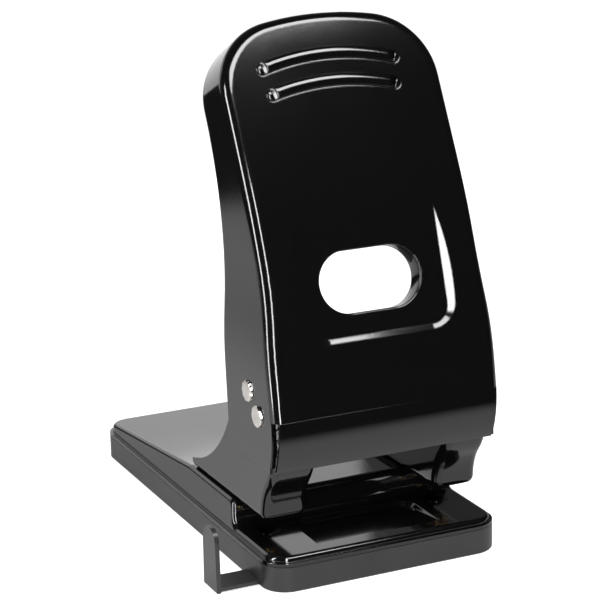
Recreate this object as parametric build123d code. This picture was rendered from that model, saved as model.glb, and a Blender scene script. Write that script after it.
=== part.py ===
from build123d import *
from math import asin, atan2, cos, degrees, hypot, pi, radians, sin, sqrt, tan
import os

os.makedirs("parts", exist_ok=True)

# Two-hole desk punch, all in millimetres.
# Frame: X = 0 is the middle plane, Y = 0 is the line through both punched holes, Z = 0 is the desk.
# The user stands at -Y and the paper goes in towards +Y.

# ---- paper and cutting ------------------------------------------------------------------------
hole_pitch = 80.0            # the two holes, standard spacing
hole_margin = 12.0           # hole centre to paper edge
pin_r = 2.75
die_clearance = 0.05
slide_clearance = 0.04       # pin in its bush, axles in the handle and brackets
slit_height = 10.8
lever_angle = 54.0           # swing of the handle for one stroke

# ---- base ------------------------------------------------------------------------------------
side_room = 14.0             # from a hole to the side of the base
side_step = 4.0              # the brackets stand this far in from it
base_w, base_d = hole_pitch + 2 * side_room, 199.0
front_y = -33.0
rear_y = front_y + base_d
base_corner_r = 11.5
sheet = 1.5                  # pressed steel of the base plate
tray_wall = 2.0
tray_h = 10.9
tray_gap = 0.3
rim_z = tray_h + tray_gap
wall_in = 1.2                # the drawn body stands this far inside the rim
wall_draft = 7.5
table_z = 15.0
platform_z = table_z + slit_height
stop_y = hole_margin
platform_end_y = 62.0
step_run, step_foot_r, step_top_r = 3.2, 5.0, 4.0     # S-shaped step that stops the sheets
tail_z = 15.9
body_edge_r = 2.0
die_r, die_flange_r, die_flange_t, die_land = 5.0, 7.0, 2.0, 4.5
recess_w = hole_pitch - 2 * (die_flange_r + die_land)
recess_front_y, recess_rear_y, recess_depth, recess_r = -24.0, 5.6, 2.4, 8.0
recess_draft = 40.0

# ---- side brackets ---------------------------------------------------------------------------
frame_x = base_w / 2 - side_step                      # outer face of the side plates
plate = 2.0
channel_w = 20.0             # each bracket is a channel this wide, open to the rear
tower_in_x = frame_x - channel_w
foot_z = platform_z
fold_r = 3.6
tower_foot_y, tower_head_y = -17.5, -28.5
tower_bend_z = (27.8, 58.0)
heel_y, toe_z = 59.5, 30.4   # rear end of the foot and height of the toe above it
scoop_y, scoop_r, toe_dip = 72.3, 63.7, 1.3           # round cut-away at the rear, up from the toe
scoop_z = toe_z + scoop_r - toe_dip
scoop_end_z = 66.0
crown_line = [(9.5, 74.5), (3.0, 82.0), (-5.0, 87.2), (-9.3, 88.7), (-12.0, 88.0), (-22.5, 81.6),
              (-26.6, 77.6), (-27.9, 72.0)]
cheek_top_z = 54.0           # the inner side plate ends under the press bar
rivet_r, rivet_head_r, rivet_head_h = 2.0, 3.6, 1.8
rivet_ys = (28.0, 50.0)

# ---- axles -----------------------------------------------------------------------------------
pivot = (-18.7, 73.2)
drive = (-9.3, 81.5)
axle_r = 3.0
head_r, head_h = 4.5, 2.4
tube_r = 4.5
washer_r, washer_t = 7.0, 0.5

# ---- handle ----------------------------------------------------------------------------------
skin = 1.2
side_play = 0.2
handle_w = frame_x + washer_t + side_play + skin      # half width at the pivot
lip_top_z, lip_bottom_z = 74.0, 51.5
bend_r = 4.5
face_foot, face_lean, face_bend = (-35.2, 70.0), 27.25, (-6.2, 166.3)
rear_foot, rear_bend, rear_tip = (10.9, 40.0), (17.4, 135.6), (34.6, 192.5)
handle_end_z = 240.0
flare, flare_z = 2.3, (88.0, 135.0)
crown_z, crown_r, shoulder_r = 228.8, 137.5, 30.0
lip_r, lip_bulge = 35.6, (-35.2, 69.0)
lip_half = handle_w - 2.0
flange_r, flange_bulge = 44.3, (-31.8, 69.0)
heel_r = 6.0
window_w, window_h, window_z, window_x = 46.0, 26.0, 125.0, -1.5
collar_depth = 3.2
groove_r, groove_depth, groove_x = 2.8, 1.2, -1.0
grooves = [(30.0, 208.0, 211.9), (28.0, 198.0, 201.4)]    # half length, end height, middle height
seat_z, seat_depth = (102.0, 152.0), 1.2              # flat seat of the window, fading out upwards
seat_half, seat_floor_z, seat_r, seat_wall = 31.5, 104.0, 8.0, 64.0

# ---- cutting set -----------------------------------------------------------------------------
bar_play = 0.05
bar_z = drive[1] - axle_r - bar_play      # where the drive axle bears
bar_leg_y = (-11.5, -5.0)
bar_flange_z, bar_flange_t, bar_back_y = 66.0, 4.0, 6.5
bar_half = hole_pitch / 2 + 6.0
stud_r, nut_af, nut_h = 2.4, 8.0, 4.0
bush_r, bush_flange_t, bush_neck_r, bush_top_z = 5.0, 1.5, 4.0, 38.0
bush_flange_r = side_room - side_step - plate - 1.5
bush_drop = 1.5              # the bushes reach this far down into the slit
wire_r, coil_r, coil_turns, coil_steps = 0.55, 5.0, 8, 12

# ---- paper guide -----------------------------------------------------------------------------
guide_y = (-20.3, -6.5)
guide_x, guide_push = (-73.2, 33.3), 16.8             # where it stands, and how far it still goes in
guide_t, guide_rib_t, guide_rib_in = 1.4, 0.8, 1.4
guide_z = 0.2
guide_top_z = 27.2
guide_clearance = 0.12
guide_stop_t = 2.0
spring_x, spring_w = (-14.0, 14.0), 8.0

# ---- tray details ----------------------------------------------------------------------------
tray_floor = 2.0
snap_gap, snap_z = 0.35, 13.0
tray_rib_h = 6.0
pad_r, pad_t, pad_in = 7.0, 1.2, (14.0, 35.0, 18.0)      # in from the sides, the front and the rear
pad_at = [(x, y) for x in (pad_in[0] - base_w / 2, base_w / 2 - pad_in[0])
          for y in (front_y + pad_in[1], rear_y - pad_in[2])]
rib_ys = [front_y + base_d * share for share in (0.47, 0.72)]


def both(shape):
    return shape, mirror(shape, about=Plane.YZ)


def cylinder_x(r, x0, x1, y, z):
    return Pos((x0 + x1) / 2, y, z) * Rot(0, 90, 0) * Cylinder(r, x1 - x0)


def cylinder_z(r, z0, z1, x=0, y=0):
    return Pos(x, y, (z0 + z1) / 2) * Cylinder(r, z1 - z0)


def block(x0, x1, y0, y1, z0, z1):
    return Pos((x0 + x1) / 2, (y0 + y1) / 2, (z0 + z1) / 2) * Box(x1 - x0, y1 - y0, z1 - z0)


def bounded(*lines):
    return make_face([edge for line in lines for edge in line.edges()])


def across(outline, x0, x1):
    """A closed outline in the YZ plane, drawn across X."""
    return Pos(x0, 0, 0) * extrude(outline, x1 - x0, dir=(1, 0, 0))


def side_outline(points):
    return make_face(Polyline(*[(0, y, z) for y, z in points], close=True))


def ogee(start, end, up):
    """Two equal arcs that leave both ends in the direction up."""
    mid = (Vector(*start) + Vector(*end)) / 2
    return TangentArc(start, mid, tangent=up), TangentArc(end, mid, tangent=-Vector(*up))


def rounded_plan(inset, z, r):
    mid_y = (front_y + rear_y) / 2
    return Pos(0, mid_y, z) * RectangleRounded(base_w - 2 * inset, base_d - 2 * inset, r)


# ---- base plate: one deep-drawn sheet --------------------------------------------------------
def base_body(inset):
    """The drawn body above the rim; inset gives the same form one sheet further in."""
    drum = extrude(rounded_plan(wall_in + inset, rim_z, base_corner_r - wall_in - inset),
                   platform_z - rim_z + 4, taper=wall_draft)
    low, high = table_z - inset, platform_z - inset
    foot_y = stop_y - step_run / 2 + inset
    top_y = foot_y + step_run
    side = side_outline([(front_y - 5, rim_z), (front_y - 5, low), (foot_y, low), (top_y, high),
                         (platform_end_y, high), (rear_y, tail_z - inset), (rear_y, rim_z)])
    corner = side.vertices().sort_by_distance((0, foot_y, low))[0]
    side = fillet(corner, step_foot_r + inset)
    corner = side.vertices().sort_by_distance((0, top_y, high))[0]
    return drum & across(fillet(corner, step_top_r - inset), -base_w, base_w)


def finger_ramp(grow):
    """The sunk ramp that lets a finger lift the sheets out: deep at the step, level in front."""
    length = recess_rear_y - recess_front_y + recess_r
    plan = Pos(0, recess_rear_y - length / 2, table_z) * RectangleRounded(
        recess_w + 2 * grow, length + 2 * grow, recess_r + grow)
    pocket = extrude(plan, recess_depth + 2 * sheet, dir=(0, 0, -1), taper=recess_draft) + extrude(plan, 10)
    rear = recess_rear_y + 2 * sheet
    slope = side_outline([(recess_front_y, table_z - grow), (rear, table_z - recess_depth - grow),
                          (rear, platform_z), (recess_front_y, platform_z)])
    return pocket & across(slope, -base_w, base_w)


outer = base_body(0)
crease = [e for e in outer.edges() if e.center().Z > table_z - 0.6
          and e.bounding_box().size.X < base_w - 12 and e.bounding_box().size.Z < slit_height + 3]
outer = fillet(crease, body_edge_r)
base_plate = outer + extrude(rounded_plan(0, rim_z, base_corner_r), sheet) - finger_ramp(0)
base_plate -= base_body(sheet) - finger_ramp(sheet)
base_plate -= extrude(rounded_plan(wall_in + sheet, rim_z - 1, base_corner_r - wall_in - sheet), 1.2)
for x in (-hole_pitch / 2, hole_pitch / 2):
    base_plate -= cylinder_z(die_r, table_z - 4, table_z + 1, x)
    for y in rivet_ys:
        base_plate -= cylinder_z(rivet_r, platform_z - 4, platform_z + 1, x, y)
export_step(base_plate, "parts/base_plate.step")


# ---- dies: hardened rings pressed up through the table ---------------------------------------
def die(x):
    ring = cylinder_z(die_r, table_z - sheet, table_z + 0.2, x)
    ring += cylinder_z(die_flange_r, table_z - sheet - die_flange_t, table_z - sheet, x)
    return ring - cylinder_z(pin_r + die_clearance, 5, table_z + 1, x)


export_step(die(-hole_pitch / 2), "parts/die_left.step")
export_step(die(hole_pitch / 2), "parts/die_right.step")


# ---- side brackets: each one folded from a single blank --------------------------------------
def tower_front(inset):
    """Front line of a bracket from foot to head, as it rises in a shallow ogee."""
    z0, z1 = tower_bend_z
    y0, y1 = tower_foot_y + inset, tower_head_y + inset
    curve = ogee((0, y0, z0), (0, y1, z1), (0, 0, 1))
    return [Line((0, y0, foot_z), (0, y0, z0)), *curve], (0, y0, foot_z), (0, y1, z1)


def scoop_line(z):
    """Point of the round cut-away behind a bracket at height z."""
    return 0, scoop_y - sqrt(scoop_r ** 2 - (scoop_z - z) ** 2), z


def right_bracket():
    py, pz = pivot
    low = foot_z + plate
    x_out, x_in = frame_x - plate, tower_in_x + plate
    front, foot, head = tower_front(0)
    scoop = ThreePointArc(scoop_line(toe_z), scoop_line((toe_z + scoop_end_z) / 2), scoop_line(scoop_end_z))
    rest = Polyline(scoop @ 1, *[(0, y, z) for y, z in crown_line], head)
    sole = Polyline(foot, (0, heel_y, foot_z), scoop @ 0)
    blank = across(bounded(*front, sole, scoop, rest), tower_in_x, frame_x)
    folds = [e for e in blank.edges() if e.center().Y < tower_foot_y + 1 and e.center().Z < tower_bend_z[1]
             or abs(e.center().Z - foot_z) < 0.01]
    folds = [e for e in folds if abs(e.center().Y - heel_y) > 1]
    blank = fillet(folds, fold_r)

    front, foot, head = tower_front(plate)
    back = Polyline(head, (0, head[1], 120), (0, 90, 120), (0, 90, foot_z), foot)
    room = across(bounded(*front, back), x_in, x_out) & block(0, x_out, -60, 95, low, 130)
    folds = [e for e in room.edges() if abs(e.center().Z - low) < 0.01 and e.center().Y < 89
             or e.center().Y < tower_foot_y + plate + 1 and e.center().Z < tower_bend_z[1]]
    room = fillet(folds, fold_r - plate)
    shape = blank - room
    shape -= block(tower_in_x - 1, x_in, -60, 95, cheek_top_z, 130)
    shape -= block(tower_in_x - 1, x_out, -60, 95, tower_bend_z[1], 130)

    slot_r = hypot(drive[0] - py, drive[1] - pz)
    start = degrees(atan2(drive[1] - pz, drive[0] - py))
    swing = CenterArc((0, 0), slot_r, start, -lever_angle)
    beside = Plane(origin=(x_out - 1, py, pz), x_dir=(0, 1, 0), z_dir=(1, 0, 0))
    shape -= extrude(beside * SlotArc(swing, 2 * axle_r + 0.6), plate + 2)
    shape -= cylinder_x(axle_r, x_out - 1, frame_x + 1, py, pz)
    shape -= cylinder_z(bush_r, foot_z - 1, low + 1, hole_pitch / 2)
    for y in rivet_ys:
        shape -= cylinder_z(rivet_r, foot_z - 1, low + 1, hole_pitch / 2, y)
    return shape


bracket = right_bracket()
export_step(bracket, "parts/right_bracket.step")
export_step(mirror(bracket, about=Plane.YZ), "parts/left_bracket.step")


def frame_rivet(x, y):
    top, low = foot_z + plate, platform_z - sheet
    head = Pos(x, y, top + rivet_head_h / 2) * Cone(rivet_head_r, rivet_head_r - 1.2, rivet_head_h)
    return head + cylinder_z(rivet_r, low, top, x, y) + cylinder_z(3.2, low - 1.0, low, x, y)


rivets = [frame_rivet(x, y) for x in (-hole_pitch / 2, hole_pitch / 2) for y in rivet_ys]
export_step(Compound(rivets), "parts/frame_rivets.step")


# ---- guide bushes, punch pins, springs, press bar --------------------------------------------
def guide_bush(x):
    bush = cylinder_z(bush_r, foot_z - bush_drop, foot_z + plate, x)
    bush += cylinder_z(bush_flange_r, foot_z + plate, foot_z + plate + bush_flange_t, x)
    bush += cylinder_z(bush_neck_r, foot_z + plate, bush_top_z, x)
    return bush - cylinder_z(pin_r + slide_clearance, table_z, bush_top_z + 1, x)


def punch_pin(x):
    top = bar_flange_z + bar_flange_t + nut_h + 0.8
    tip = foot_z - bush_drop + 0.1
    pin = cylinder_z(pin_r, tip, bar_flange_z, x) + cylinder_z(stud_r, bar_flange_z - 1, top, x)
    notch = Pos(x, 0, tip) * Rot(90, 0, 0) * Cylinder(1.6, 12)
    return pin - notch


def pin_nut(x):
    z = bar_flange_z + bar_flange_t
    nut = extrude(Pos(x, 0, z) * RegularPolygon(nut_af / 2, 6, major_radius=False), nut_h)
    nut = chamfer(nut.faces().sort_by(Axis.Z)[-1].edges(), 0.5)
    return nut - cylinder_z(stud_r, z - 1, z + nut_h + 1, x)


def return_spring(x):
    """Compression spring between the bush and the press bar, its wire laid out in short chords."""
    z0, z1 = foot_z + plate + bush_flange_t + wire_r, bar_flange_z - wire_r
    steps = coil_turns * coil_steps
    turn = [2 * pi * k / coil_steps for k in range(steps + 1)]
    path = Polyline(*[(x + coil_r * cos(t), coil_r * sin(t), z0 + (z1 - z0) * k / steps)
                      for k, t in enumerate(turn)])
    wire = Plane(origin=path @ 0, z_dir=path % 0) * RegularPolygon(wire_r, 6)
    return sweep(wire, path=path, transition=Transition.RIGHT)


bar = side_outline([(bar_leg_y[0], bar_flange_z), (bar_back_y, bar_flange_z),
                    (bar_back_y, bar_flange_z + bar_flange_t), (bar_leg_y[1], bar_flange_z + bar_flange_t),
                    (bar_leg_y[1], bar_z), (bar_leg_y[0], bar_z)])
bar = across(bar, -bar_half, bar_half)
bar = chamfer(bar.faces().filter_by(Axis.X).edges().filter_by(Axis.Z), 0.8)
for x in (-hole_pitch / 2, hole_pitch / 2):
    bar -= cylinder_z(stud_r, bar_flange_z - 1, bar_flange_z + bar_flange_t + 1, x)
export_step(bar, "parts/press_bar.step")
for side, x in (("left", -hole_pitch / 2), ("right", hole_pitch / 2)):
    export_step(guide_bush(x), f"parts/guide_bush_{side}.step")
    export_step(punch_pin(x), f"parts/punch_pin_{side}.step")
    export_step(return_spring(x), f"parts/return_spring_{side}.step")
export_step(Compound([pin_nut(x) for x in (-hole_pitch / 2, hole_pitch / 2)]), "parts/pin_nuts.step")


# ---- axles, tube and washers -----------------------------------------------------------------
def riveted_axle(seat, y, z):
    """A plain axle with a domed head closed over the outside of each handle flange."""
    ball_r = (head_r ** 2 + head_h ** 2) / (2 * head_h)
    centre, half_angle = seat + head_h - ball_r, asin(head_r / ball_r) / 2
    mid = (centre + ball_r * cos(half_angle), ball_r * sin(half_angle))
    crown = ThreePointArc((seat, head_r), mid, (seat + head_h, 0))
    stem = Polyline((-seat, head_r), (-seat, axle_r), (seat, axle_r), (seat, head_r))
    axis = Line((seat + head_h, 0), (-seat - head_h, 0))
    return Pos(0, y, z) * revolve(bounded(crown, mirror(crown, about=Plane.YZ), stem, axis), Axis.X)


export_step(riveted_axle(handle_w + 0.1, *pivot), "parts/pivot_axle.step")
export_step(riveted_axle(handle_w, *drive), "parts/drive_axle.step")

tube = cylinder_x(tube_r, -(frame_x - plate), frame_x - plate, *pivot)
export_step(tube - cylinder_x(axle_r, -60, 60, *pivot), "parts/spacer_tube.step")

washer = cylinder_x(washer_r, frame_x, frame_x + washer_t, *pivot)
washer -= cylinder_x(axle_r + slide_clearance, 40, 60, *pivot)
export_step(Compound(list(both(washer))), "parts/pivot_washers.step")


# ---- handle: one deep-drawn steel shell ------------------------------------------------------
lean = radians(face_lean)
face_normal, face_up = Vector(0, cos(lean), -sin(lean)), Vector(0, sin(lean), cos(lean))
face_corner, face_low = Vector(0, *face_bend), Vector(0, *face_foot)
face_r = (face_low - face_corner).length ** 2 / (2 * (face_low - face_corner).dot(face_normal))
face_centre = face_corner + face_normal * face_r
top_half = handle_w - flare


def behind_face(point):
    """How far a point lies behind the front of the handle: flat above its bend, round below."""
    spot = Vector(0, point.Y, point.Z)
    if (spot - face_corner).dot(face_up) > 0:
        return (spot - face_corner).dot(face_normal)
    return face_r - (spot - face_centre).length


def side_slab(depth, reach):
    """Side view of the handle, from depth behind its face to its rear edge moved back by reach."""
    high = face_corner + face_normal * depth
    low = face_centre + (face_low - face_centre) * ((face_r - depth) / face_r)
    tip = high + face_up * ((handle_end_z - high.Z) / cos(lean))
    foot = Vector(0, low.Y, rear_foot[1])
    heel, bend, nape = [Vector(0, y + reach, z) for y, z in (rear_foot, rear_bend, rear_tip)]
    back = TangentArc(bend, nape, tangent=(bend - heel).normalized())
    end = nape + (back % 1) * ((handle_end_z - nape.Z) / (back % 1).Z)
    front = [Line(tip, high), TangentArc(high, low, tangent=-face_up), Line(low, foot)]
    return across(bounded(*front, Polyline(foot, heel, bend), back, Polyline(nape, end, tip)), -70, 70)


def front_prism(inset):
    """Flared skirt and parallel sides below, arched top drawn along the tilted face above."""
    wide, narrow, seam = handle_w - inset, top_half - inset, flare_z[1]
    flank = ogee((wide, 0, flare_z[0]), (narrow, 0, seam), (0, 0, 1))
    other = [mirror(curve, about=Plane.YZ) for curve in flank]
    skirt = Polyline((narrow, 0, seam), (-narrow, 0, seam))
    hem = Polyline((-wide, 0, flare_z[0]), (-wide, 0, 40), (wide, 0, 40), (wide, 0, flare_z[0]))
    low = extrude(bounded(*flank, *other, skirt, hem), 100, dir=(0, 1, 0), both=True)

    apex = (crown_z - face_corner.Z) / cos(lean)
    side_top = apex - crown_r + sqrt((crown_r - inset) ** 2 - narrow ** 2)
    arch = ThreePointArc((narrow, side_top), (0, apex - inset), (-narrow, side_top))
    sides = Polyline((-narrow, side_top), (-narrow, -90), (narrow, -90), (narrow, side_top))
    cap = bounded(arch, sides)
    cap = fillet(cap.vertices().group_by(Axis.Y)[-1], shoulder_r - inset)
    cap = Plane(origin=face_corner, x_dir=(1, 0, 0), z_dir=-face_normal) * cap
    return low + (extrude(cap, 120, both=True) & block(-80, 80, -120, 150, seam, 300))


def groove(half, end_z, mid_z, r):
    """A round-ended tube along a shallow arch that stands out of the straight part of the face."""
    out = face_corner - face_normal * (groove_r - groove_depth)
    ends = ((groove_x - half, end_z), (groove_x, mid_z), (groove_x + half, end_z))
    points = [(x, (z - face_corner.Z) / cos(lean)) for x, z in ends]
    path = Plane(origin=out, x_dir=(1, 0, 0), z_dir=-face_normal) * ThreePointArc(*points)
    section = Plane(origin=path @ 0, x_dir=-face_normal, z_dir=path % 0) * Circle(r)
    tube = sweep(section, path=path)
    return tube + Pos(*(path @ 0)) * Sphere(r) + Pos(*(path @ 1)) * Sphere(r)


def face_point(z):
    """Point of the rounded part of the face at height z."""
    return Vector(0, face_centre.Y - sqrt(face_r ** 2 - (z - face_centre.Z) ** 2), z)


seat_low, seat_high = face_point(seat_z[0]) + Vector(0, seat_depth, 0), face_point(seat_z[1])
seat_up = (seat_high - seat_low).normalized()
seat_out = Vector(0, -seat_up.Z, seat_up.Y)


def on_seat(z, sink):
    """Sketch plane on the seat at height z, or one that lies behind it by sink."""
    origin = seat_low + seat_up * ((z - seat_low.Z) / seat_up.Z) - seat_out * sink
    return Plane(origin=origin, x_dir=(1, 0, 0), z_dir=seat_out)


def seat_press(inset):
    """What the press takes out of the face round the window: a flat floor with sloping walls."""
    half = seat_half + inset * tan(radians(90 - seat_wall) / 2)
    height = seat_z[1] - seat_floor_z + 20
    floor = Pos(0, height / 2 - half + seat_half) * Rectangle(2 * half, height)
    floor = fillet(floor.vertices().group_by(Axis.Y)[0], seat_r + inset)
    return extrude(on_seat(seat_floor_z, inset) * floor, 2.6 + inset, taper=-seat_wall)


def pressed_body(inset, reach):
    """The drawn form with its two grip grooves and the seat of the window."""
    body = side_slab(inset, reach) & front_prism(inset)
    rim = [e for e in body.edges() if abs(behind_face(e @ 0.5) - inset) < 0.05
           and (e @ 0.5).Z > 41 and e.bounding_box().size.X < 2 * top_half - 10]
    body = fillet(rim, bend_r - inset)
    for half, end_z, mid_z in grooves:
        body -= groove(half, end_z, mid_z, groove_r + inset)
    return body - seat_press(inset)


def window(grow, front, depth):
    """The long hole square to its seat, from front before it to depth behind it."""
    slot = Pos(window_x, 0) * SlotOverall(window_w + 2 * grow, window_h + 2 * grow)
    return extrude(on_seat(window_z, depth) * slot, depth + front)


def bulge(top, r, depth):
    """Front line of the lip or of a side flange: one arc whose foremost point is top."""
    centre_y, centre_z = top[0] + r, top[1]
    heights = (lip_top_z, (lip_top_z + lip_bottom_z) / 2, lip_bottom_z)
    return ThreePointArc(*[(0, centre_y - sqrt((r - depth) ** 2 - (z - centre_z) ** 2), z) for z in heights])


shell = pressed_body(0, 0) - pressed_body(skin, 30)
shell = shell + window(skin, -skin / 2, skin + collar_depth) - window(0, 5, 2 * collar_depth)
shell -= block(-80, 80, -80, 80, 30, lip_bottom_z)
ear_front = bulge(flange_bulge, flange_r, 0)
ear_back_y = (ear_front @ 1).Y + 1
shell -= block(-80, 80, -80, ear_back_y - 2, 30, lip_top_z)
lip_front, lip_back = bulge(lip_bulge, lip_r, 0), bulge(lip_bulge, lip_r, skin)
tongue = bounded(lip_front, lip_back, Line(lip_front @ 0, lip_back @ 0), Line(lip_front @ 1, lip_back @ 1))
shell += across(tongue, -lip_half, lip_half)
ear = Polyline(ear_front @ 1, (0, ear_back_y, lip_bottom_z), (0, ear_back_y, lip_top_z), ear_front @ 0)
for side in both(across(bounded(ear_front, ear), handle_w - skin, handle_w)):
    shell += side
heels = [e for e in shell.edges() if abs((e @ 0.5).Z - lip_bottom_z) < 0.1 and (e @ 0.5).Y > 8
         and e.length < 2 * skin]
shell = fillet(heels, heel_r)
shell -= cylinder_x(axle_r + slide_clearance, -60, 60, *pivot)
shell -= cylinder_x(axle_r, -60, 60, *drive)
export_step(shell, "parts/handle_shell.step")


# ---- chip tray: moulded cover that closes the base from below --------------------------------
def chip_tray():
    tray = extrude(rounded_plan(0, 0, base_corner_r), tray_h)
    tray -= extrude(rounded_plan(tray_wall, tray_floor, base_corner_r - tray_wall), 20)
    inset = wall_in + sheet + snap_gap
    tongue = extrude(rounded_plan(inset, tray_floor, base_corner_r - inset), snap_z - tray_floor)
    tongue -= extrude(rounded_plan(inset + tray_wall, 0, base_corner_r - inset - tray_wall), 30)
    tray += tongue
    tray = chamfer(tray.faces().sort_by(Axis.Z)[0].outer_wire().edges(), 0.5)
    y0, y1 = guide_y
    roof = guide_z + guide_rib_t + guide_t + guide_clearance
    tray += block(-base_w / 2 + 1, base_w / 2 - 1, y0 - 3, y1 + 3, tray_floor / 2, roof + 2)
    channel_end = guide_x[1] + guide_push + 0.5
    tray -= block(-base_w, channel_end, y0 - guide_clearance, y1 + guide_clearance,
                  guide_z + guide_rib_t - guide_clearance, roof)
    tray -= block(-base_w, channel_end, y0 + guide_rib_in - guide_clearance,
                  y1 - guide_rib_in + guide_clearance, -1, roof)
    tray -= block(*spring_x, (y0 + y1) / 2 - spring_w / 2 - 0.3, (y0 + y1) / 2 + spring_w / 2 + 0.3,
                  roof - 0.1, roof + 1.1)
    for x in (-hole_pitch / 2, hole_pitch / 2):
        tray -= cylinder_z(die_flange_r + snap_gap, table_z - sheet - die_flange_t - snap_gap, 20, x)
    for x, y in pad_at:
        tray -= cylinder_z(pad_r, -1, pad_t, x, y)
    for y in rib_ys:
        tray += block(-base_w / 2 + 1, base_w / 2 - 1, y - 0.8, y + 0.8, tray_floor - 0.5, tray_rib_h)
    return tray


export_step(chip_tray(), "parts/chip_tray.step")
pads = [cylinder_z(pad_r, 0, pad_t, x, y) for x, y in pad_at]
export_step(Compound(pads), "parts/rubber_pads.step")

roof_z = guide_z + guide_rib_t + guide_t + guide_clearance
mid_y = sum(guide_y) / 2
bow = [(spring_x[0] + 1, 0, roof_z + 1.1 - 0.3), (0, 0, roof_z - guide_clearance + 0.03),
       (spring_x[1] - 1, 0, roof_z + 1.1 - 0.3)]
under = ThreePointArc(*bow)
over = ThreePointArc(*[(x, y, z + 0.3) for x, y, z in bow])
leaf = bounded(under, over, Line(under @ 0, over @ 0), Line(under @ 1, over @ 1))
leaf = Pos(0, mid_y - spring_w / 2, 0) * extrude(leaf, spring_w, dir=(0, 1, 0))
export_step(leaf, "parts/guide_spring.step")


# ---- paper guide: flat slide with an upright stop for the edge of the sheets ------------------
def paper_guide():
    y0, y1 = guide_y
    x0, x1 = guide_x
    top = guide_z + guide_rib_t + guide_t
    slide = block(x0, x1, y0, y1, guide_z + guide_rib_t, top)
    slide += block(x0, x1 - 2, y0 + guide_rib_in, y1 - guide_rib_in, guide_z, guide_z + guide_rib_t)
    face_yz = make_face(Polyline((x0, y0, guide_z), (x0, y1, guide_z), (x0, y1 - 0.6, guide_top_z),
                                 (x0, y0 + 0.6, guide_top_z), close=True))
    stop = extrude(face_yz, guide_stop_t, dir=(1, 0, 0))
    ends = [e for e in stop.edges().filter_by(Axis.X) if e.center().Z > guide_top_z - 1]
    stop = fillet(ends, 5.5)
    guide = slide + stop
    low = [e for e in guide.edges() if abs(e.center().X - x0) < 0.1 and e.center().Z < guide_z + 0.1]
    return fillet(low, 0.5)


export_step(paper_guide(), "parts/paper_guide.step")
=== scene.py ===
import bpy
from math import asin, atan2, cos, pi, radians, sin
from mathutils import Matrix, Vector


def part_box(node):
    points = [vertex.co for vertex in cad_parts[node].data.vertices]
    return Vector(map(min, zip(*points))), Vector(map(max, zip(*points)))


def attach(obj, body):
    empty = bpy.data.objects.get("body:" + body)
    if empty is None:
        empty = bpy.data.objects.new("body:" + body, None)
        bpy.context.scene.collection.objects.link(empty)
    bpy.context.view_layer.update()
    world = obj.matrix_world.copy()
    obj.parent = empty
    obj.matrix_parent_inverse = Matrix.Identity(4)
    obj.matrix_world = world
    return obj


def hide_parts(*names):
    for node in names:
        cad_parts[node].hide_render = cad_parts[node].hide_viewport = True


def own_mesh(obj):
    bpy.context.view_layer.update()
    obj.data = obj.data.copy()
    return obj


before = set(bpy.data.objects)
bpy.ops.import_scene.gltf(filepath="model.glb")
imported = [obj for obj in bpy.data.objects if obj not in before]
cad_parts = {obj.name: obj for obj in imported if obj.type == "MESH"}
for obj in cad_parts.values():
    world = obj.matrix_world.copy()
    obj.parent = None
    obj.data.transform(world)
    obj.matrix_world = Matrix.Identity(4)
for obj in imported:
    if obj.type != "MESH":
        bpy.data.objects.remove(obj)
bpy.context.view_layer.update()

# ---- Chip tray -------------------------------------------------------------------------------
# The punch stands on a moulded black tray that snaps under the steel base and catches the paper
# chips. It is satin plastic with a fine spark-eroded grain and faint handling marks.
NOISE_MIDDLE = 0.5
MOTTLE_DARK_UNTIL, MOTTLE_LIGHT_FROM = 0.35, 0.7


def new_finish(name, colour, roughness, metallic=0.0):
    """A new material, with its node tree and its Principled shader."""
    material = bpy.data.materials.new(name)
    material.use_nodes = True
    tree = material.node_tree
    shader = tree.nodes["Principled BSDF"]
    shader.inputs["Base Color"].default_value = (*colour, 1)
    shader.inputs["Roughness"].default_value = roughness
    shader.inputs["Metallic"].default_value = metallic
    return material, tree, shader


def node(tree, kind, **values):
    """A new node of this kind; each value sets the socket or else the option of that name."""
    made = tree.nodes.new(kind)
    for key, value in values.items():
        if key in made.inputs:
            made.inputs[key].default_value = value
        else:
            setattr(made, key, value)
    return made


def surface_group():
    """Relief and uneven gloss for any finish, from a fine grain and a slow mottling."""
    group = bpy.data.node_groups.new("worn_surface", "ShaderNodeTree")
    for name in ("Grain Scale", "Mottle Scale", "Roughness", "Spread"):
        group.interface.new_socket(name, in_out="INPUT", socket_type="NodeSocketFloat")
    for name in ("Roughness", "Relief", "Mottle"):
        group.interface.new_socket(name, in_out="OUTPUT", socket_type="NodeSocketFloat")
    inside, outside = node(group, "NodeGroupInput"), node(group, "NodeGroupOutput")
    place = node(group, "ShaderNodeTexCoord")
    grain = node(group, "ShaderNodeTexNoise", Detail=3.0, Roughness=0.6)
    mottle = node(group, "ShaderNodeTexNoise", Detail=4.0, Roughness=0.55)
    link = group.links.new
    for noise, scale in ((grain, "Grain Scale"), (mottle, "Mottle Scale")):
        link(place.outputs["Object"], noise.inputs["Vector"])
        link(inside.outputs[scale], noise.inputs["Scale"])
    centred = node(group, "ShaderNodeMath", operation="SUBTRACT")
    centred.inputs[1].default_value = NOISE_MIDDLE
    link(mottle.outputs["Fac"], centred.inputs[0])
    rough = node(group, "ShaderNodeMath", operation="MULTIPLY_ADD", use_clamp=True)
    link(centred.outputs[0], rough.inputs[0])
    link(inside.outputs["Spread"], rough.inputs[1])
    link(inside.outputs["Roughness"], rough.inputs[2])
    link(rough.outputs[0], outside.inputs["Roughness"])
    link(grain.outputs["Fac"], outside.inputs["Relief"])
    link(mottle.outputs["Fac"], outside.inputs["Mottle"])
    return group


worn_surface = surface_group()


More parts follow.
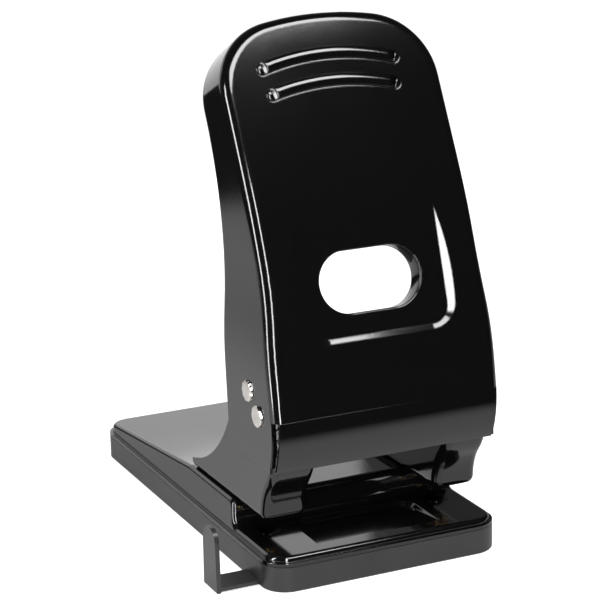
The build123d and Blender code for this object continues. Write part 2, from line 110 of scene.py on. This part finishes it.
def wear(tree, shader, gloss, grain_scale, relief, mottle_scale, shades=None):
    """Gives a finish its surface: gloss is its roughness and how far that wanders, shades the two
    colours between which it is mottled."""
    group = node(tree, "ShaderNodeGroup", node_tree=worn_surface)
    group.inputs["Roughness"].default_value, group.inputs["Spread"].default_value = gloss
    group.inputs["Grain Scale"].default_value = grain_scale
    group.inputs["Mottle Scale"].default_value = mottle_scale
    bump = node(tree, "ShaderNodeBump", Strength=1.0, Distance=relief)
    link = tree.links.new
    link(group.outputs["Relief"], bump.inputs["Height"])
    link(bump.outputs["Normal"], shader.inputs["Normal"])
    link(group.outputs["Roughness"], shader.inputs["Roughness"])
    if shades:
        ramp = node(tree, "ShaderNodeValToRGB")
        stops = zip(ramp.color_ramp.elements, (MOTTLE_DARK_UNTIL, MOTTLE_LIGHT_FROM), shades)
        for stop, position, shade in stops:
            stop.position = position
            stop.color = (*shade, 1)
        link(group.outputs["Mottle"], ramp.inputs["Fac"])
        link(ramp.outputs["Color"], shader.inputs["Base Color"])


def dress(name, material):
    """Gives a part of the frame its material."""
    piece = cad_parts[name]
    piece.data.materials.clear()
    piece.data.materials.append(material)


tray_plastic, tree, shader = new_finish("tray_plastic", (0.012, 0.012, 0.012), roughness=0.38)
wear(tree, shader, gloss=(0.38, 0.12), grain_scale=1500, relief=0.00002, mottle_scale=30,
     shades=((0.010, 0.010, 0.010), (0.015, 0.015, 0.015)))
dress("chip_tray", tray_plastic)

# ---- Rubber pads -----------------------------------------------------------------------------
# Four round pads of matt black rubber, pressed into round pockets of the tray so that they lie
# flush with its underside.
pad_rubber, tree, shader = new_finish("pad_rubber", (0.02, 0.02, 0.02), roughness=0.8)
wear(tree, shader, gloss=(0.8, 0.15), grain_scale=700, relief=0.00006, mottle_scale=60,
     shades=((0.016, 0.016, 0.016), (0.026, 0.026, 0.025)))
dress("rubber_pads", pad_rubber)

# ---- Base plate ------------------------------------------------------------------------------
# One sheet of steel, deep drawn: rim, low paper table with the sunk finger ramp, stop step and long
# platform. Stoved black enamel with a slight orange peel.
ENAMEL_BLACK, ENAMEL_PEEL, ENAMEL_IOR = (0.0018, 0.0018, 0.002), 0.000006, 1.55
LOW_FOLDS_UNTIL, HIGH_FOLDS_FROM, FOLD_SAMPLES = 0.085, 0.095, 8


def enamelled(name, low_folds, high_folds):
    """Stoved black enamel that softens the folds, to one radius low down and another higher up."""
    material, tree, shader = new_finish(name, ENAMEL_BLACK, roughness=0.1)
    wear(tree, shader, gloss=(0.085, 0.06), grain_scale=420, relief=ENAMEL_PEEL, mottle_scale=25)
    shader.inputs["IOR"].default_value = ENAMEL_IOR
    bump = shader.inputs["Normal"].links[0].from_node
    place = node(tree, "ShaderNodeTexCoord")
    split = node(tree, "ShaderNodeSeparateXYZ")
    radius = node(tree, "ShaderNodeMapRange")
    radius.inputs["From Min"].default_value = LOW_FOLDS_UNTIL
    radius.inputs["From Max"].default_value = HIGH_FOLDS_FROM
    radius.inputs["To Min"].default_value = low_folds
    radius.inputs["To Max"].default_value = high_folds
    fold = node(tree, "ShaderNodeBevel", samples=FOLD_SAMPLES)
    link = tree.links.new
    link(place.outputs["Object"], split.inputs[0])
    link(split.outputs["Z"], radius.inputs["Value"])
    link(radius.outputs["Result"], fold.inputs["Radius"])
    link(fold.outputs["Normal"], bump.inputs["Normal"])
    return material


enamel = enamelled("enamel", low_folds=0.0005, high_folds=0.0005)
dress("base_plate", enamel)

# ---- Dies ------------------------------------------------------------------------------------
# Rings of ground, hardened steel, coloured almost black all over. Each is pressed up through the table
# under its pin, as far as the flange round its foot.
die_steel, tree, shader = new_finish("die_steel", (0.03, 0.03, 0.03), roughness=0.2, metallic=1.0)
wear(tree, shader, gloss=(0.2, 0.2), grain_scale=1200, relief=0.00001, mottle_scale=90,
     shades=((0.02, 0.02, 0.021), (0.06, 0.06, 0.058)))
dress("die_left", die_steel)
dress("die_right", die_steel)

# ---- Side brackets ---------------------------------------------------------------------------
# Each is folded from 2 mm steel: side plate, tower face, inner cheek and foot. They are riveted
# to the platform and enamelled with the base.
dress("left_bracket", enamel)
dress("right_bracket", enamel)
dress("frame_rivets", enamel)

# ---- Guide bushes and punch pins -------------------------------------------------------------
# Turned brass bushes sit in the feet of the brackets and guide the pins. The pins are ground from
# tool steel and notched across the tip, so that each cuts from two sides inwards.
bush_brass, tree, shader = new_finish("bush_brass", (0.62, 0.42, 0.16), roughness=0.28, metallic=1.0)
wear(tree, shader, gloss=(0.28, 0.15), grain_scale=900, relief=0.00002, mottle_scale=70,
     shades=((0.55, 0.36, 0.14), (0.66, 0.46, 0.18)))
tool_steel, tree, shader = new_finish("tool_steel", (0.55, 0.55, 0.56), roughness=0.22, metallic=1.0)
wear(tree, shader, gloss=(0.22, 0.12), grain_scale=1400, relief=0.00001, mottle_scale=80,
     shades=((0.48, 0.48, 0.49), (0.6, 0.6, 0.6)))
for side in ("left", "right"):
    dress(f"guide_bush_{side}", bush_brass)
    dress(f"punch_pin_{side}", tool_steel)

# ---- Return springs, press bar and nuts ------------------------------------------------------
# Coils of oiled spring wire round the pins lift the zinc-plated steel bar that carries them. The
# nuts on the bar and the tube between the brackets are plated like it, and the leaf that brakes the
# paper guide is of the same steel as the coils.
spring_wire, tree, shader = new_finish("spring_wire", (0.35, 0.35, 0.36), roughness=0.3, metallic=1.0)
wear(tree, shader, gloss=(0.3, 0.15), grain_scale=1000, relief=0.00001, mottle_scale=120,
     shades=((0.28, 0.28, 0.29), (0.42, 0.42, 0.42)))
zinc, tree, shader = new_finish("zinc", (0.6, 0.61, 0.63), roughness=0.35, metallic=1.0)
wear(tree, shader, gloss=(0.35, 0.2), grain_scale=800, relief=0.00002, mottle_scale=60,
     shades=((0.52, 0.53, 0.55), (0.66, 0.67, 0.68)))
dress("guide_spring", spring_wire)
for name in ("press_bar", "pin_nuts", "spacer_tube"):
    dress(name, zinc)


SMOOTH_UP_TO = radians(40)
SPRING_SEAT, PRESS_TRAVEL, WELD = 0.0293, 0.0111, 0.000001       # seat is a height, travel downwards


def fresh(*picked):
    """Object mode with only these objects selected, the last of them active."""
    if bpy.context.object and bpy.context.object.mode != "OBJECT":
        bpy.ops.object.mode_set(mode="OBJECT")
    bpy.ops.object.select_all(action="DESELECT")
    for piece in picked:
        piece.select_set(True)
        bpy.context.view_layer.objects.active = piece


def freeze(piece):
    """Puts the piece's place, turn and scale into its mesh."""
    fresh(piece)
    bpy.ops.object.transform_apply(location=True, rotation=True, scale=True)


def settle(piece, name, material, body):
    """Freezes the place of a finished piece, names, paints and hangs it on its body."""
    freeze(piece)
    bpy.ops.object.shade_smooth_by_angle(angle=SMOOTH_UP_TO)
    piece.name = name
    piece.data.materials.append(material)
    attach(piece, body)


def return_spring(node_name):
    """The wound spring, welded into one skin and hung on the frame."""
    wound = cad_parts[node_name]
    dress(node_name, spring_wire)
    spring = bpy.data.objects.new(f"{node_name}_coil", wound.data.copy())
    bpy.context.scene.collection.objects.link(spring)
    spring.data.materials.clear()
    fresh(spring)
    bpy.ops.object.mode_set(mode="EDIT")
    bpy.ops.mesh.select_all(action="SELECT")
    bpy.ops.mesh.remove_doubles(threshold=WELD)
    bpy.ops.object.mode_set(mode="OBJECT")
    settle(spring, f"{node_name}_coil", spring_wire, "frame")
    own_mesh(spring)
    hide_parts(node_name)


return_spring("return_spring_left")
return_spring("return_spring_right")

# ---- Axles -----------------------------------------------------------------------------------
# Nickel-plated steel bars, riveted over outside the handle. The low heads are struck flat, those of
# the upper, driving axle with a star punch that leaves a knobbed rim.
nickel, tree, shader = new_finish("nickel", (0.72, 0.69, 0.65), roughness=0.18, metallic=1.0)
wear(tree, shader, gloss=(0.18, 0.2), grain_scale=500, relief=0.00004, mottle_scale=300,
     shades=((0.6, 0.57, 0.53), (0.78, 0.75, 0.72)))
dress("pivot_axle", nickel)
dress("drive_axle", nickel)
AXLE_RADIUS, AXLE_REACH = 0.003, 0.0519        # half length, to the handle's outer faces
HEAD_RADIUS, HEAD_HEIGHT, HEAD_ROLL, ROLL_STEPS = 0.0046, 0.0010, 0.0004, 3
HEAD_SIDES, HEAD_KNOBS, KNOB_DENT = 45, 9, 0.90
NEAR = 0.00005


def pick(piece, kind, wanted):
    """Edit mode with only those corners ("VERT") or faces ("FACE") selected whose place is wanted."""
    fresh(piece)
    bpy.ops.object.mode_set(mode="EDIT")
    bpy.ops.mesh.select_mode(type=kind)
    bpy.ops.mesh.select_all(action="DESELECT")
    bpy.ops.object.mode_set(mode="OBJECT")
    if kind == "VERT":
        for corner in piece.data.vertices:
            corner.select = wanted(corner.co)
    else:
        for face in piece.data.polygons:
            face.select = wanted(face.center)
    bpy.ops.object.mode_set(mode="EDIT")


def on_knob_gap(height, along):
    """Whether this corner, seen from the middle of the head, lies between two knobs."""
    return cos(HEAD_KNOBS * atan2(height, along)) < 0


def riveted_axle(node_name, body, knobbed):
    """A bar upset at each end into a low flat head; the star punch pulls in parts of its rim."""
    low, high = (Vector(corner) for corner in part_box(node_name))
    middle = (low + high) / 2
    spread = HEAD_RADIUS / AXLE_RADIUS
    fresh()
    bpy.ops.mesh.primitive_cylinder_add(vertices=HEAD_SIDES, radius=AXLE_RADIUS, depth=2 * AXLE_REACH,
                                        rotation=(0, pi / 2, 0), location=(0, middle.y, middle.z))
    axle = bpy.context.object
    freeze(axle)
    for side in (-1, 1):
        seat = (side * AXLE_REACH, middle.y, middle.z)
        pick(axle, "FACE", lambda at: at.x * side > AXLE_REACH - NEAR)
        bpy.ops.mesh.extrude_region_move()
        bpy.ops.transform.resize(value=(1, spread, spread), center_override=seat)
        bpy.ops.mesh.extrude_region_move(TRANSFORM_OT_translate={"value": (side * HEAD_HEIGHT, 0, 0)})
        bpy.ops.mesh.bevel(offset=HEAD_ROLL, segments=ROLL_STEPS, affect="EDGES")
        if knobbed:
            pick(axle, "VERT", lambda at: at.x * side > AXLE_REACH + NEAR
                 and on_knob_gap(at.z - middle.z, at.y - middle.y))
            bpy.ops.transform.resize(value=(1, KNOB_DENT, KNOB_DENT), center_override=seat)
    bpy.ops.object.mode_set(mode="OBJECT")
    settle(axle, f"{node_name}_riveted", nickel, body)
    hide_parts(node_name)


riveted_axle("pivot_axle", "frame", False)
riveted_axle("drive_axle", "handle", True)

# ---- Pivot washers ---------------------------------------------------------------------------
# Two thin washers of natural nylon on the pivot axle, one at each side. They keep the enamel of the
# handle and that of the brackets apart.
nylon, tree, shader = new_finish("nylon", (0.6, 0.6, 0.57), roughness=0.5)
wear(tree, shader, gloss=(0.5, 0.1), grain_scale=900, relief=0.00002, mottle_scale=60,
     shades=((0.55, 0.55, 0.52), (0.64, 0.64, 0.6)))
dress("pivot_washers", nylon)

# ---- Handle ----------------------------------------------------------------------------------
# One deep-drawn steel shell, enamelled like the base. Two grip ribs are pressed out of its face, and
# the sheet round the finger window is drawn back into a deep collar.
handle_enamel = enamelled("handle_enamel", low_folds=0.0002, high_folds=0.0014)
dress("handle_shell", handle_enamel)
FACE_LEAN, FACE_BEND = radians(27.25), Vector((0, -0.0062, 0.1663))
SEAT_LEAN, SEAT_MIDDLE = radians(17.24), Vector((-0.0015, -0.02143, 0.125))
RIB_X, RIB_HALF_WIDTH, RIB_RISE = -0.001, 0.0027, 0.0011
RIBS = ((0.0300, 0.2084, 0.2123), (0.0280, 0.1984, 0.2018))      # half length, end height, middle height
RIB_SIDES, RIB_STEPS = 40, 40
COLLAR_WIDTH, COLLAR_HEIGHT, COLLAR_DEPTH, COLLAR_SHEET = 0.0457, 0.0257, 0.0088, 0.0012
COLLAR_SIDES, COLLAR_ROLL, COLLAR_START = 94, 0.0004, 0.0005


def leaning(lean, origin):
    """Place on a sheet that leans back: X to the right, Y up the slope, Z out of the sheet."""
    up, out = Vector((0, sin(lean), cos(lean))), Vector((0, -cos(lean), sin(lean)))
    place = Matrix((Vector((1, 0, 0)), up, out)).transposed().to_4x4()
    place.translation = origin
    return place


def grip_rib(number, half, end_z, middle_z):
    """A ridge of oval section, spun along an arch on the flat of the face, with domed ends."""
    sag = (middle_z - end_z) / cos(FACE_LEAN)
    radius = (half ** 2 + sag ** 2) / (2 * sag)
    reach = asin(half / radius)
    fresh()
    bpy.ops.mesh.primitive_circle_add(vertices=RIB_SIDES, radius=1, rotation=(0, pi / 2, 0))
    rib = bpy.context.object
    rib.scale = (RIB_RISE, RIB_HALF_WIDTH, 1)
    rib.location = (0, radius, 0)
    freeze(rib)
    rib.rotation_euler = (0, 0, reach)
    freeze(rib)
    bpy.ops.object.mode_set(mode="EDIT")
    bpy.ops.mesh.select_all(action="SELECT")
    bpy.ops.mesh.spin(steps=RIB_STEPS, angle=2 * reach, center=(0, 0, 0), axis=(0, 0, 1))
    bpy.ops.mesh.select_all(action="SELECT")
    bpy.ops.mesh.fill_holes(sides=RIB_SIDES)
    bpy.ops.object.mode_set(mode="OBJECT")
    ends = []
    for side in (-1, 1):
        bpy.ops.mesh.primitive_uv_sphere_add(segments=RIB_SIDES, ring_count=RIB_SIDES // 2, radius=1)
        ends.append(bpy.context.object)
        ends[-1].scale = (RIB_HALF_WIDTH, RIB_HALF_WIDTH, RIB_RISE)
        ends[-1].location = (side * sin(reach) * radius, cos(reach) * radius, 0)
        freeze(ends[-1])
    fresh(*ends, rib)
    bpy.ops.object.join()
    along = (middle_z - FACE_BEND.z) / cos(FACE_LEAN) - radius
    rib.matrix_world = leaning(FACE_LEAN, FACE_BEND) @ Matrix.Translation((RIB_X, along, 0))
    settle(rib, f"grip_rib_{number}", handle_enamel, "handle")


for number, rib_size in enumerate(RIBS, 1):
    grip_rib(number, *rib_size)


def finger_collar():
    """The sheet drawn back round the window: a long ring, thickened and rolled at its rear edge."""
    fresh()
    bpy.ops.mesh.primitive_circle_add(vertices=COLLAR_SIDES, radius=COLLAR_HEIGHT / 2,
                                      rotation=(0, 0, pi / COLLAR_SIDES))
    collar = bpy.context.object
    freeze(collar)
    for side in (-1, 1):
        pick(collar, "VERT", lambda at: at.x * side > 0)
        bpy.ops.transform.translate(value=(side * (COLLAR_WIDTH - COLLAR_HEIGHT) / 2, 0, 0))
    bpy.ops.mesh.select_all(action="SELECT")
    bpy.ops.transform.translate(value=(0, 0, -COLLAR_START))
    bpy.ops.mesh.extrude_region_move(TRANSFORM_OT_translate={"value": (0, 0, COLLAR_START - COLLAR_DEPTH)})
    bpy.ops.mesh.select_all(action="SELECT")
    bpy.ops.mesh.normals_make_consistent(inside=True)
    bpy.ops.object.mode_set(mode="OBJECT")
    wall = collar.modifiers.new("wall", "SOLIDIFY")
    wall.thickness, wall.offset = COLLAR_SHEET, -1
    roll = collar.modifiers.new("roll", "BEVEL")
    roll.width, roll.segments = COLLAR_ROLL, ROLL_STEPS
    for modifier in (wall, roll):
        bpy.ops.object.modifier_apply(modifier=modifier.name)
    collar.matrix_world = leaning(SEAT_LEAN, SEAT_MIDDLE)
    settle(collar, "finger_collar", handle_enamel, "handle")


finger_collar()

# ---- Paper guide -----------------------------------------------------------------------------
# A slide of satin black plastic, moulded in one piece, that pulls out from under the tray. Its
# upright end stops the side of the sheets.
guide_plastic, tree, shader = new_finish("guide_plastic", (0.012, 0.012, 0.012), roughness=0.35)
wear(tree, shader, gloss=(0.34, 0.12), grain_scale=1500, relief=0.00002, mottle_scale=50,
     shades=((0.010, 0.010, 0.010), (0.016, 0.016, 0.016)))
dress("paper_guide", guide_plastic)

# ---- Studio ----------------------------------------------------------------------------------
# A pale table in a dark room: a softbox over the front, two upright strips at the left, and two lit
# cards behind. The enamel mirrors them all, so floor and world are dark for mirrored rays beyond
# the table's edges.
TABLE_FRONT, TABLE_BACK, TABLE_EDGE = -0.15, 0.62, 0.05
FLOOR_SIZE, FLOOR_DROP = 30.0, 0.0003
FLOOR_PAINT, FLOOR_GLOW = (0.55, 0.55, 0.55), 0.76
ROOM_LIGHT, ROOM_FRONT, ROOM_BACK = 0.45, 0.02, 0.12
BACK_FROM, BACK_UNTIL = 0.35, 0.6              # Y of a mirrored ray's direction, 1 is straight back


def studio_floor():
    """The table glows for the camera only, and past its ends it is dark in mirrored rays."""
    fresh()
    bpy.ops.mesh.primitive_plane_add(size=FLOOR_SIZE, location=(0, 0, -FLOOR_DROP))
    floor = bpy.context.object
    floor.name = "floor"
    paint, tree, shader = new_finish("floor_paint", FLOOR_PAINT, roughness=0.9)
    shader.inputs["Specular IOR Level"].default_value = 0.0
    shader.inputs["Emission Color"].default_value = (1, 1, 1, 1)
    link = tree.links.new
    path = node(tree, "ShaderNodeLightPath")
    glow = node(tree, "ShaderNodeMath", operation="MULTIPLY")
    glow.inputs[1].default_value = FLOOR_GLOW
    link(path.outputs["Is Camera Ray"], glow.inputs[0])
    link(glow.outputs[0], shader.inputs["Emission Strength"])
    place = node(tree, "ShaderNodeTexCoord")
    split = node(tree, "ShaderNodeSeparateXYZ")
    link(place.outputs["Object"], split.inputs[0])
    ends = []
    for edge, side in ((TABLE_FRONT, -1), (TABLE_BACK, 1)):
        ramp = node(tree, "ShaderNodeMapRange", interpolation_type="SMOOTHSTEP")
        ramp.inputs["From Min"].default_value = edge - side * TABLE_EDGE
        ramp.inputs["From Max"].default_value = edge + side * TABLE_EDGE
        link(split.outputs["Y"], ramp.inputs["Value"])
        ends.append(ramp)
    past = node(tree, "ShaderNodeMath", operation="MAXIMUM")
    link(ends[0].outputs["Result"], past.inputs[0])
    link(ends[1].outputs["Result"], past.inputs[1])
    hidden = node(tree, "ShaderNodeMath", operation="MULTIPLY")
    link(past.outputs[0], hidden.inputs[0])
    link(path.outputs["Is Glossy Ray"], hidden.inputs[1])
    dark = node(tree, "ShaderNodeEmission", Color=(1, 1, 1, 1), Strength=ROOM_FRONT)
    choose = node(tree, "ShaderNodeMixShader")
    link(hidden.outputs[0], choose.inputs[0])
    link(shader.outputs[0], choose.inputs[1])
    link(dark.outputs[0], choose.inputs[2])
    link(choose.outputs[0], tree.nodes["Material Output"].inputs["Surface"])
    floor.data.materials.append(paint)


def studio_world():
    """White for the camera, plain grey light on the punch and a dark room for mirrored rays."""
    world = bpy.data.worlds.new("studio")
    bpy.context.scene.world = world
    world.use_nodes = True
    tree = world.node_tree
    link = tree.links.new
    tree.nodes.clear()
    out = node(tree, "ShaderNodeOutputWorld")
    plain = node(tree, "ShaderNodeBackground", Color=(1, 1, 1, 1), Strength=1.0)
    room = node(tree, "ShaderNodeBackground", Color=(1, 1, 1, 1), Strength=ROOM_LIGHT)
    mirrored = node(tree, "ShaderNodeBackground", Strength=1.0)
    path = node(tree, "ShaderNodeLightPath")
    where = node(tree, "ShaderNodeTexCoord")
    split = node(tree, "ShaderNodeSeparateXYZ")
    link(where.outputs["Generated"], split.inputs[0])
    behind = node(tree, "ShaderNodeMapRange", interpolation_type="SMOOTHSTEP")
    behind.inputs["From Min"].default_value = BACK_FROM
    behind.inputs["From Max"].default_value = BACK_UNTIL
    behind.inputs["To Min"].default_value = ROOM_FRONT
    behind.inputs["To Max"].default_value = ROOM_BACK
    link(split.outputs["Y"], behind.inputs["Value"])
    link(behind.outputs["Result"], mirrored.inputs["Strength"])
    seen = node(tree, "ShaderNodeMixShader")
    link(path.outputs["Is Camera Ray"], seen.inputs[0])
    link(room.outputs[0], seen.inputs[1])
    link(plain.outputs[0], seen.inputs[2])
    choose = node(tree, "ShaderNodeMixShader")
    link(path.outputs["Is Glossy Ray"], choose.inputs[0])
    link(seen.outputs[0], choose.inputs[1])
    link(mirrored.outputs[0], choose.inputs[2])
    link(choose.outputs[0], out.inputs["Surface"])


def lamp(name, bearing, climb, distance, size, radiance, aim):
    """An area lamp of this width and height, turned to the point at height aim between the dies.
    Its bearing, from the front with right positive, and its climb are in degrees."""
    turn, rise = radians(bearing), radians(climb)
    width, height = size
    reach = Vector((sin(turn) * cos(rise), -cos(turn) * cos(rise), sin(rise)))
    bpy.ops.object.light_add(type="AREA", location=Vector((0, 0, aim)) + reach * distance)
    made = bpy.context.object
    made.name = name
    made.rotation_euler = reach.to_track_quat("Z", "Y").to_euler()
    made.data.shape = "RECTANGLE"
    made.data.size, made.data.size_y = width, height
    made.data.energy = radiance * width * height * pi
    made.visible_camera = False


studio_floor()
studio_world()
lamp("softbox", bearing=12, climb=57, distance=0.75, size=(0.56, 0.24), radiance=15, aim=0.15)
lamp("strip_rear", bearing=-84, climb=9, distance=0.45, size=(0.065, 0.44), radiance=24, aim=0.15)
lamp("strip_front", bearing=-22, climb=11, distance=0.45, size=(0.07, 0.48), radiance=24, aim=0.15)
lamp("backdrop", bearing=188, climb=15.8, distance=0.735, size=(0.98, 0.4), radiance=1.2, aim=0.15)
lamp("low_card", bearing=163, climb=0, distance=0.75, size=(0.6, 0.2), radiance=0.92, aim=0.06)
bpy.context.scene.view_settings.view_transform = "Standard"

# ---- Camera ----------------------------------------------------------------------------------
# A long lens stands to the left of the front and a little above, so that it sees the handle's face
# and the left side of the punch. It is rolled by about a degree.
CAMERA_PLACE = (-0.38538, -0.78703, 0.35883)
CAMERA_TURN = (radians(74.19614), radians(1.25088), radians(-25.05402))
CAMERA_LENS = 130.74
bpy.ops.object.camera_add(location=CAMERA_PLACE, rotation=CAMERA_TURN)
camera = bpy.context.object
camera.data.lens = CAMERA_LENS
bpy.context.scene.camera = camera
